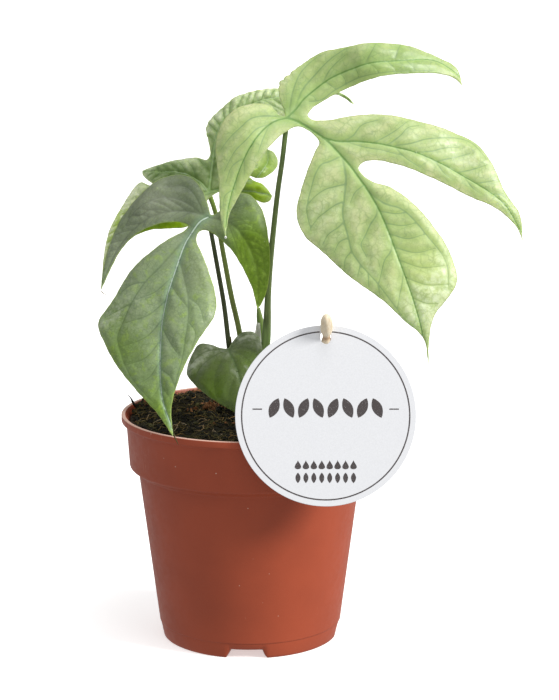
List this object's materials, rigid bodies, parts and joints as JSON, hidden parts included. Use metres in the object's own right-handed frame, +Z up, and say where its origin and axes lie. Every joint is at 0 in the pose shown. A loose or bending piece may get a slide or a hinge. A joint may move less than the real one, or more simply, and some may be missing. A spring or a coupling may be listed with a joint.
{
  "type": "potted amydrium medium plant",
  "caption": "Young aroid houseplant with deeply split leaves on long stalks, in a round tapered nursery pot with a round card tag on a wooden pick.",
  "frame": {"origin": "below the middle of the bounding box, on the surface that the pot stands on; the pot's own axis is 28.3 mm to the left and 4.1 mm behind it", "axes": "+Z up along the pot's axis, +X to the right as seen from the front, -Y to the front, where the tag faces"},
  "size_m": [0.192, 0.1282, 0.2785],
  "materials": {
    "pot_plastic": "satin",
    "potting_mix": "matte",
    "stalk_green": "satin",
    "stalk_dark": "satin",
    "leaf_light": "satin",
    "leaf_dusky": "satin",
    "leaf_mid": "satin",
    "leaf_deep": "satin",
    "papery_scale": "matte",
    "tag_card": "matte",
    "pick_wood": "matte"
  },
  "bodies": {
    "root": {"pot": "pot_plastic", "soil": "potting_mix", "stem": "stalk_green", "leaf_right_blade": "leaf_light", "leaf_right_petiole": "stalk_green", "leaf_front_blade": "leaf_dusky", "leaf_front_petiole": "stalk_dark", "leaf_back_blade": "leaf_mid", "leaf_back_petiole": "stalk_green", "leaf_small_blade": "leaf_deep", "leaf_small_petiole": "stalk_green", "shoot": "stalk_green", "shoot_scale": "papery_scale", "tag": "tag_card", "pick": "pick_wood"}
  },
  "joints": []
}
